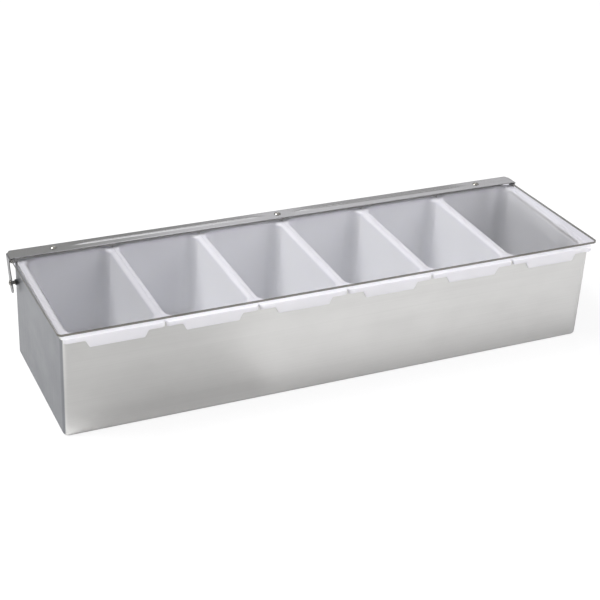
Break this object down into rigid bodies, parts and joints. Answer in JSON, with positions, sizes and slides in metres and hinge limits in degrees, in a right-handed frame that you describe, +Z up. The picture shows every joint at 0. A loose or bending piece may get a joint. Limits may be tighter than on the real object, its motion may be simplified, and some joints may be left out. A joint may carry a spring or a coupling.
{
  "type": "condiment caddy",
  "caption": "Long steel condiment tray with lift-out plastic bins under one clear lid hinged along the back on a riveted steel strap.",
  "frame": {"origin": "centre of the tray's flat base, on the surface it stands on", "axes": "+X along the tray's length to the right as seen from the front, +Y towards the hinge at the back, +Z up"},
  "size_m": [0.4838, 0.1535, 0.096],
  "materials": {
    "tray_steel": "brushed along its length",
    "strap_steel": "fine brushed",
    "rivet_metal": "bright",
    "bin_plastic": "satin moulded",
    "clear_plastic": "clear, polished"
  },
  "bodies": {
    "caddy": {"tray_body": "tray_steel", "bin_1": "bin_plastic", "bin_2": "bin_plastic", "bin_3": "bin_plastic", "bin_4": "bin_plastic", "bin_5": "bin_plastic", "bin_6": "bin_plastic", "pivot_pin_left": "rivet_metal", "pivot_spacer_left": "strap_steel", "pivot_washer_left": "rivet_metal", "pivot_pin_right": "rivet_metal", "pivot_spacer_right": "strap_steel", "pivot_washer_right": "rivet_metal"},
    "lid": {"lid_panel": "clear_plastic", "hinge_strap": "strap_steel", "strap_rivet_left": "rivet_metal", "strap_washer_left": "rivet_metal", "strap_rivet_centre": "rivet_metal", "strap_washer_centre": "rivet_metal", "strap_rivet_right": "rivet_metal", "strap_washer_right": "rivet_metal"}
  },
  "joints": [
    {"name": "lid_hinge", "type": "hinge", "parent": "caddy", "child": "lid", "pos_m": [0, 0.0625, 0.07], "axis": [-1, 0, 0], "range_deg": [-2, 102]}
  ]
}
